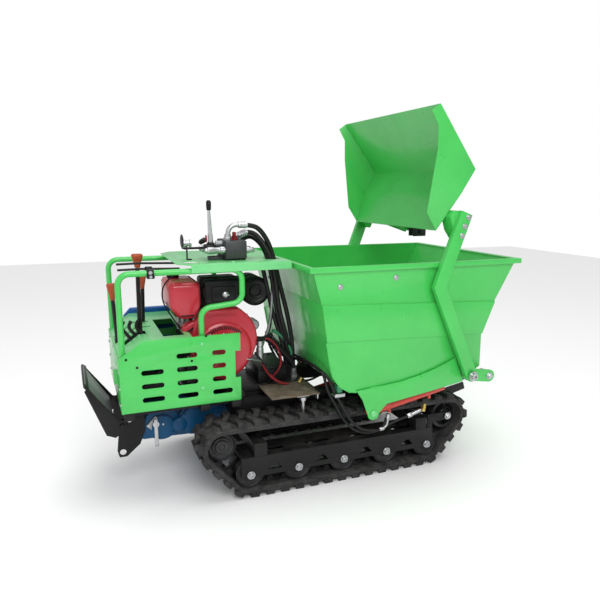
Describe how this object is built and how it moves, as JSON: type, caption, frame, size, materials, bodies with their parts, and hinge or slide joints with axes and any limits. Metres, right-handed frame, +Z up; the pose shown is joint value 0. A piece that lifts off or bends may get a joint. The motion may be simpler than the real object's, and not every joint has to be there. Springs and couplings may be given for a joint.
{
  "type": "tracked mini dumper",
  "caption": "Walk-behind tracked mini dumper with a tipping hopper, a self-loading shovel on two lift arms, an engine under a control deck and a folding step.",
  "frame": {"origin": "middle of the machine's length and width, on the ground", "axes": "+X forward towards the tipping end, +Y left, +Z up"},
  "size_m": [2.021, 1.012, 1.715],
  "materials": {
    "black_paint": "satin",
    "green_paint": "gloss",
    "red_paint": "gloss",
    "cylinder_red": "gloss",
    "gearbox_blue": "satin",
    "guard_blue": "gloss",
    "track_rubber": "matte",
    "hose_rubber": "matte",
    "cast_dark": "matte",
    "zinc_steel": "satin",
    "chrome_rod": "polished",
    "black_plastic": "matte",
    "tread_steel": "matte",
    "primer_brown": "matte"
  },
  "bodies": {
    "chassis": {"air_cleaner": "black_plastic", "battery": "black_plastic", "battery_stand": "black_paint", "battery_tray": "primer_brown", "belt_guard": "guard_blue", "chassis_frame": "black_paint", "console_cover": "green_paint", "control_deck": "green_paint", "control_valve": "cast_dark", "crossbeams": "black_paint", "drive_axle": "zinc_steel", "drive_sprocket_L": "cast_dark", "drive_sprocket_R": "cast_dark", "engine_block": "cast_dark", "engine_head": "cast_dark", "engine_shroud": "red_paint", "frame_tube_L": "green_paint", "frame_tube_R": "green_paint", "fuel_tank": "red_paint", "gear_flange": "zinc_steel", "gearbox": "gearbox_blue", "hopper_rests": "black_paint", "idler_L": "cast_dark", "idler_R": "cast_dark", "muffler": "black_paint", "rear_panel": "green_paint", "rubber_track_L": "track_rubber", "rubber_track_R": "track_rubber", "shift_levers": "black_paint", "side_panel_L": "green_paint", "side_panel_R": "green_paint", "starter_motor": "cast_dark", "step_bracket": "black_paint", "throttle": "black_plastic", "track_frame_L": "black_paint", "track_frame_R": "black_paint", "track_rollers_L": "cast_dark", "track_rollers_R": "cast_dark", "valve_hoses": "hose_rubber", "valve_lever": "chrome_rod"},
    "hopper_body": {"arm_pivot_L": "green_paint", "arm_pivot_R": "green_paint", "cylinder_bracket_L": "green_paint", "cylinder_bracket_R": "green_paint", "hopper": "green_paint", "lift_hoses_L": "hose_rubber", "lift_hoses_R": "hose_rubber"},
    "loader_arms": {"lift_arm_L": "green_paint", "lift_arm_R": "green_paint", "shovel": "green_paint"},
    "step_body": {"foot_step": "tread_steel"},
    "barrel_right": {"lift_barrel_R": "cylinder_red"},
    "barrel_left": {"lift_barrel_L": "cylinder_red"},
    "rod_right": {"lift_rod_R": "chrome_rod"},
    "rod_left": {"lift_rod_L": "chrome_rod"},
    "barrel_tip": {"tip_barrel": "cylinder_red"},
    "rod_tip": {"tip_rod": "chrome_rod"}
  },
  "joints": [
    {"name": "hopper_tip", "type": "hinge", "parent": "chassis", "child": "hopper_body", "pos_m": [0.81, 0, 0.4], "axis": [0, 1, 0], "range_deg": [0, 65]},
    {"name": "arm_lift", "type": "hinge", "parent": "hopper_body", "child": "loader_arms", "pos_m": [0.734, 0, 0.476], "axis": [0, -1, 0], "range_deg": [-120, 0]},
    {"name": "step_fold", "type": "hinge", "parent": "chassis", "child": "step_body", "pos_m": [-0.863, 0, 0.336], "axis": [0, -1, 0], "range_deg": [0, 58]},
    {"name": "lift_barrel_swing_right", "type": "hinge", "parent": "hopper_body", "child": "barrel_right", "pos_m": [0.224, -0.426, 0.34], "axis": [0, -1, 0], "range_deg": [-7, 0]},
    {"name": "lift_rod_slide_right", "type": "slide", "parent": "barrel_right", "child": "rod_right", "axis": [0.9827, 0, 0.1852], "range_m": [-0.21, 0]},
    {"name": "lift_barrel_swing_left", "type": "hinge", "parent": "hopper_body", "child": "barrel_left", "pos_m": [0.224, 0.426, 0.34], "axis": [0, -1, 0], "range_deg": [-7, 0]},
    {"name": "lift_rod_slide_left", "type": "slide", "parent": "barrel_left", "child": "rod_left", "axis": [0.9827, 0, 0.1852], "range_m": [-0.21, 0]},
    {"name": "tip_barrel_swing", "type": "hinge", "parent": "chassis", "child": "barrel_tip", "pos_m": [0.06, 0, 0.3], "axis": [0, -1, 0], "range_deg": [0, 12]},
    {"name": "tip_rod_slide", "type": "slide", "parent": "barrel_tip", "child": "rod_tip", "axis": [0.9772, 0, 0.2124], "range_m": [0, 0.19]}
  ],
  "couplings": [
    {"joint": "lift_barrel_swing_right", "follows": "arm_lift", "ratio": 0.05},
    {"joint": "lift_rod_slide_right", "follows": "arm_lift", "m_per_rad": 0.09492},
    {"joint": "lift_barrel_swing_left", "follows": "arm_lift", "ratio": 0.05},
    {"joint": "lift_rod_slide_left", "follows": "arm_lift", "m_per_rad": 0.09492},
    {"joint": "tip_barrel_swing", "follows": "hopper_tip", "ratio": 0.16154},
    {"joint": "tip_rod_slide", "follows": "hopper_tip", "m_per_rad": 0.15655}
  ]
}
